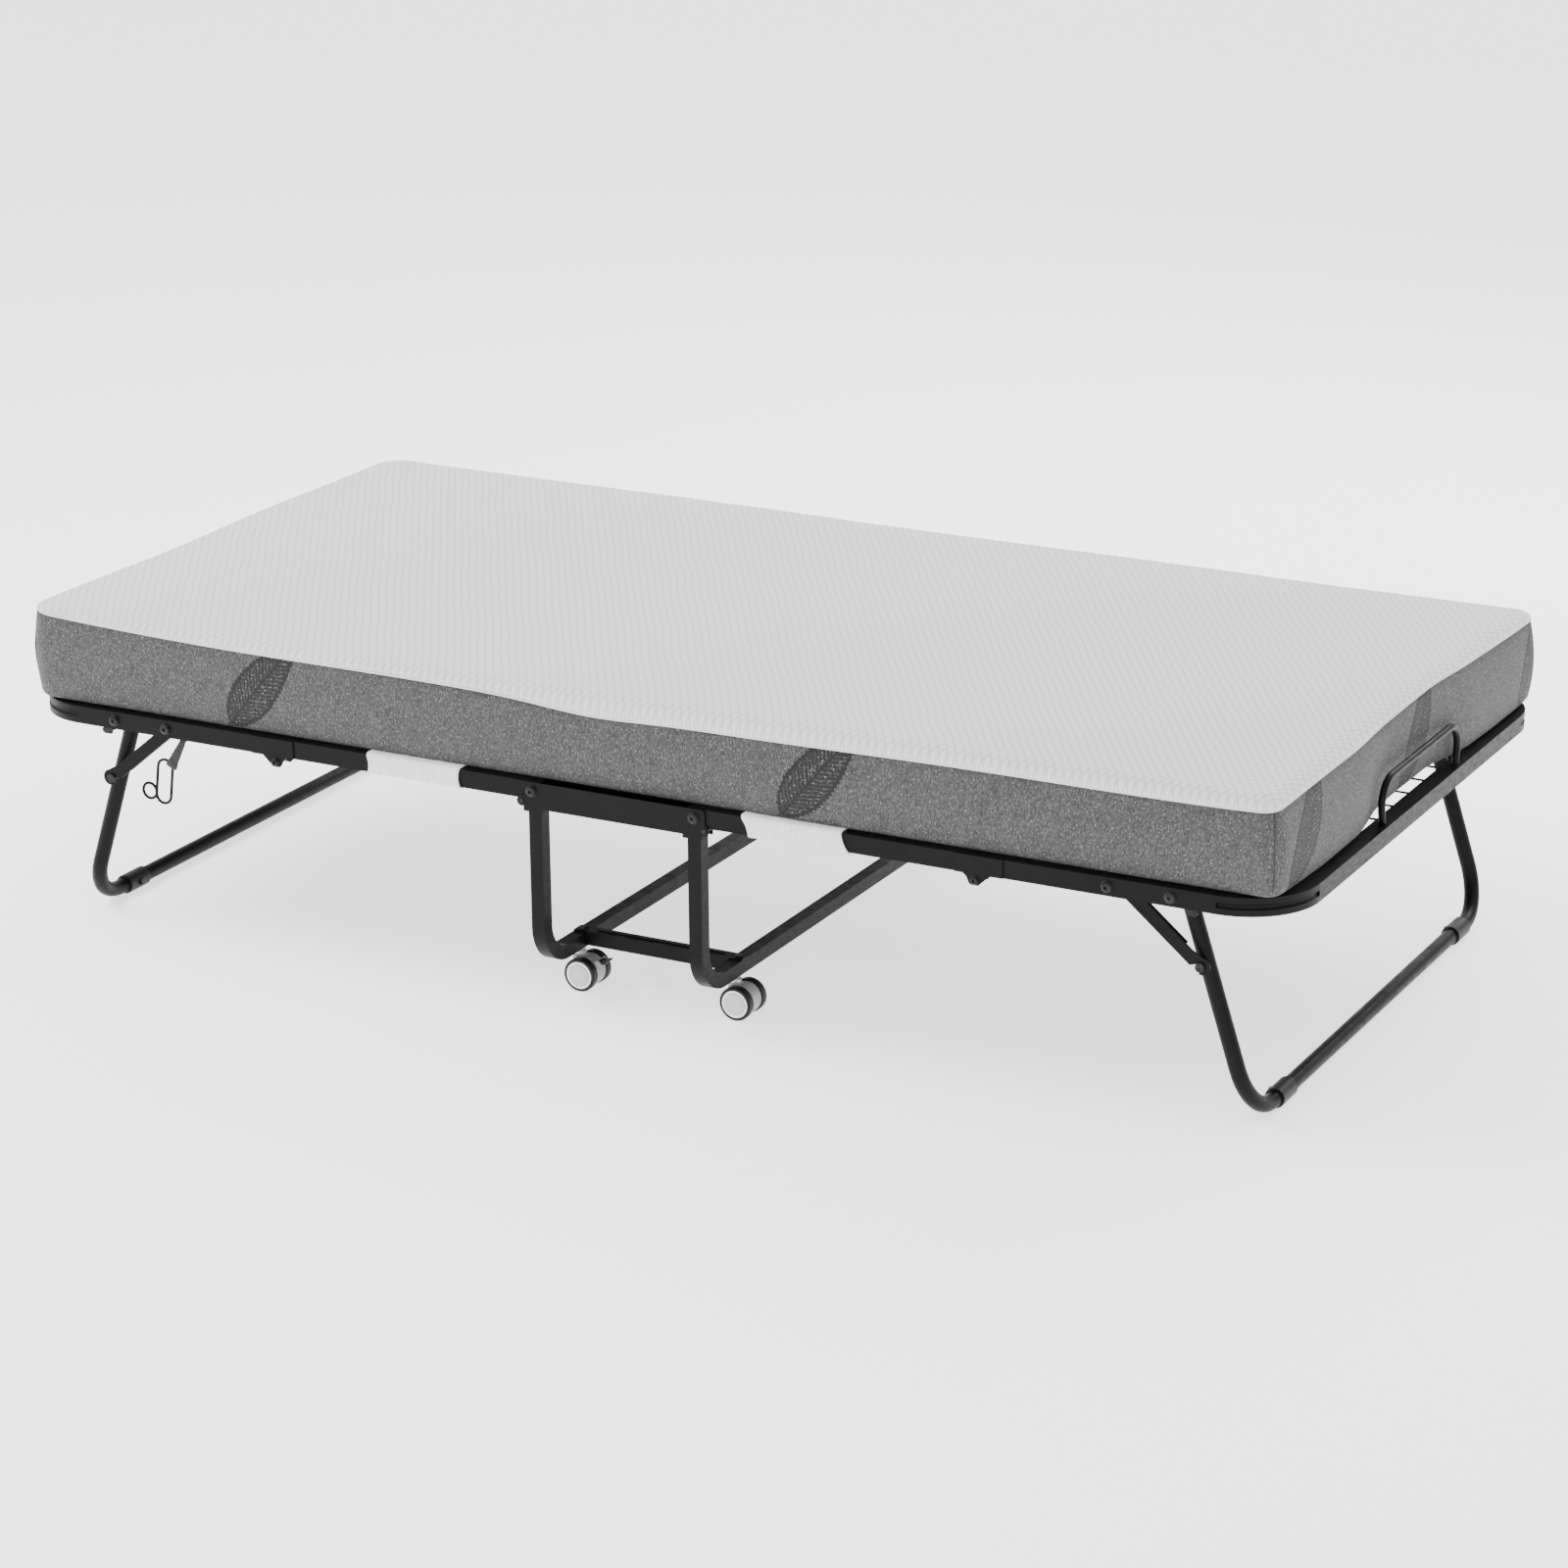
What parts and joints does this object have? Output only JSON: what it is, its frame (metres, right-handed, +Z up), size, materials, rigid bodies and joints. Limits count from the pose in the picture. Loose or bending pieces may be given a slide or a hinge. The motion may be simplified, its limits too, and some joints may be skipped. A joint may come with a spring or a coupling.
{
  "type": "folding bed",
  "caption": "Folding cot on a rolling cart: two wire-decked halves fold up, a leg swings down under each end, foam mattress strapped on.",
  "frame": {"origin": "on the floor under the middle of the frame", "axes": "+X along the bed towards the foot end with the retaining handle, +Y across the bed, +Z up"},
  "size_m": [1.936, 0.991, 0.464],
  "materials": {
    "black_paint": "satin black powder coat",
    "bracket_steel": "satin black powder coat on pressed steel",
    "brace_steel": "satin black powder coat on a pressed channel",
    "black_fixings": "black coated steel",
    "black_wire": "black coated rod",
    "deck_wire": "satin black powder coat on drawn wire",
    "zinc": "zinc plated",
    "castor_grey": "smooth grey plastic",
    "light_plastic": "light grey plastic",
    "black_plastic": "black plastic",
    "wheel_rubber": "black castor tread",
    "white_elastic": "ribbed white elastic webbing",
    "black_webbing": "black webbing",
    "mattress_fabric": "white quilted knit with a heathered grey side"
  },
  "bodies": {
    "cart": {"centre_bracket_near": "bracket_steel", "centre_bracket_far": "bracket_steel", "bracket_stop_pins": "black_fixings", "bracket_bolts": "black_fixings", "cart_frame_head": "black_paint", "cart_frame_foot": "black_paint", "cart_rail_near": "black_paint", "cart_rail_far": "black_paint", "cart_rivets": "black_fixings", "castor_sockets": "light_plastic", "mattress_centre": "mattress_fabric"},
    "head_half": {"head_end_frame": "black_paint", "head_side_rail_near": "black_paint", "head_side_rail_far": "black_paint", "head_hinge_leaves": "bracket_steel", "head_frame_bolts": "black_fixings", "head_wire_deck": "deck_wire", "head_leg_stops": "black_fixings", "head_straps": "white_elastic", "mattress_head": "mattress_fabric", "latch_clip": "black_fixings"},
    "head_leg_body": {"head_leg": "black_paint", "head_leg_sleeves": "black_plastic", "head_leg_pins": "black_fixings"},
    "head_brace_pair": {"head_braces": "brace_steel"},
    "foot_half": {"foot_end_frame": "black_paint", "foot_side_rail_near": "black_paint", "foot_side_rail_far": "black_paint", "foot_hinge_leaves": "bracket_steel", "foot_frame_bolts": "black_fixings", "foot_wire_deck": "deck_wire", "foot_leg_stops": "black_fixings", "foot_straps": "white_elastic", "mattress_foot": "mattress_fabric", "retaining_handle": "black_wire"},
    "foot_leg_body": {"foot_leg": "black_paint", "foot_leg_sleeves": "black_plastic", "foot_leg_pins": "black_fixings"},
    "foot_brace_pair": {"foot_braces": "brace_steel"},
    "castor_head_near": {"housing_head_near": "castor_grey", "stem_head_near": "zinc"},
    "wheel_pair_head_near": {"wheels_head_near": "wheel_rubber", "hub_caps_head_near": "light_plastic"},
    "castor_head_far": {"housing_head_far": "castor_grey", "stem_head_far": "zinc"},
    "wheel_pair_head_far": {"wheels_head_far": "wheel_rubber", "hub_caps_head_far": "light_plastic"},
    "castor_foot_near": {"housing_foot_near": "castor_grey", "stem_foot_near": "zinc"},
    "wheel_pair_foot_near": {"wheels_foot_near": "wheel_rubber", "hub_caps_foot_near": "light_plastic"},
    "castor_foot_far": {"housing_foot_far": "castor_grey", "stem_foot_far": "zinc"},
    "wheel_pair_foot_far": {"wheels_foot_far": "wheel_rubber", "hub_caps_foot_far": "light_plastic"},
    "brake_near": {"brake_lever_near": "black_plastic"},
    "brake_far": {"brake_lever_far": "black_plastic"},
    "latch": {"latch_strap": "black_webbing", "latch_hook": "black_wire"}
  },
  "joints": [
    {"name": "head_fold", "type": "hinge", "parent": "cart", "child": "head_half", "pos_m": [-0.124, 0, 0.3175], "axis": [0, 1, 0], "range_deg": [0, 80], "deforming": ["mattress_centre"]},
    {"name": "head_leg_fold", "type": "hinge", "parent": "head_half", "child": "head_leg_body", "pos_m": [-0.806, 0, 0.3175], "axis": [0, -1, 0], "range_deg": [0, 90]},
    {"name": "head_brace_lift", "type": "hinge", "parent": "head_half", "child": "head_brace_pair", "pos_m": [-0.719, 0, 0.3175], "axis": [0, 1, 0], "range_deg": [0, 18]},
    {"name": "foot_fold", "type": "hinge", "parent": "cart", "child": "foot_half", "pos_m": [0.124, 0, 0.3175], "axis": [0, -1, 0], "range_deg": [0, 80], "deforming": ["mattress_centre"]},
    {"name": "foot_leg_fold", "type": "hinge", "parent": "foot_half", "child": "foot_leg_body", "pos_m": [0.806, 0, 0.3175], "axis": [0, 1, 0], "range_deg": [0, 90]},
    {"name": "foot_brace_lift", "type": "hinge", "parent": "foot_half", "child": "foot_brace_pair", "pos_m": [0.719, 0, 0.3175], "axis": [0, -1, 0], "range_deg": [0, 18]},
    {"name": "swivel_head_near", "type": "hinge", "parent": "cart", "child": "castor_head_near", "pos_m": [-0.122, -0.377, 0.05], "axis": [0, 0, 1], "continuous": true},
    {"name": "roll_head_near", "type": "hinge", "parent": "castor_head_near", "child": "wheel_pair_head_near", "pos_m": [-0.11, -0.377, 0.024], "axis": [0, 1, 0], "continuous": true},
    {"name": "swivel_head_far", "type": "hinge", "parent": "cart", "child": "castor_head_far", "pos_m": [-0.122, 0.377, 0.05], "axis": [0, 0, 1], "continuous": true},
    {"name": "roll_head_far", "type": "hinge", "parent": "castor_head_far", "child": "wheel_pair_head_far", "pos_m": [-0.11, 0.377, 0.024], "axis": [0, 1, 0], "continuous": true},
    {"name": "swivel_foot_near", "type": "hinge", "parent": "cart", "child": "castor_foot_near", "pos_m": [0.122, -0.377, 0.05], "axis": [0, 0, 1], "continuous": true},
    {"name": "roll_foot_near", "type": "hinge", "parent": "castor_foot_near", "child": "wheel_pair_foot_near", "pos_m": [0.134, -0.377, 0.024], "axis": [0, 1, 0], "continuous": true},
    {"name": "swivel_foot_far", "type": "hinge", "parent": "cart", "child": "castor_foot_far", "pos_m": [0.122, 0.377, 0.05], "axis": [0, 0, 1], "continuous": true},
    {"name": "roll_foot_far", "type": "hinge", "parent": "castor_foot_far", "child": "wheel_pair_foot_far", "pos_m": [0.134, 0.377, 0.024], "axis": [0, 1, 0], "continuous": true},
    {"name": "brake_near_press", "type": "hinge", "parent": "castor_head_near", "child": "brake_near", "pos_m": [-0.0885, -0.377, 0.0387], "axis": [0, 1, 0], "range_deg": [0, 12]},
    {"name": "brake_far_press", "type": "hinge", "parent": "castor_head_far", "child": "brake_far", "pos_m": [-0.0885, 0.377, 0.0387], "axis": [0, 1, 0], "range_deg": [0, 12]},
    {"name": "latch_swing", "type": "hinge", "parent": "head_half", "child": "latch", "pos_m": [-0.699, -0.4755, 0.3], "axis": [0, 1, 0], "range_deg": [-30, 35]}
  ]
}
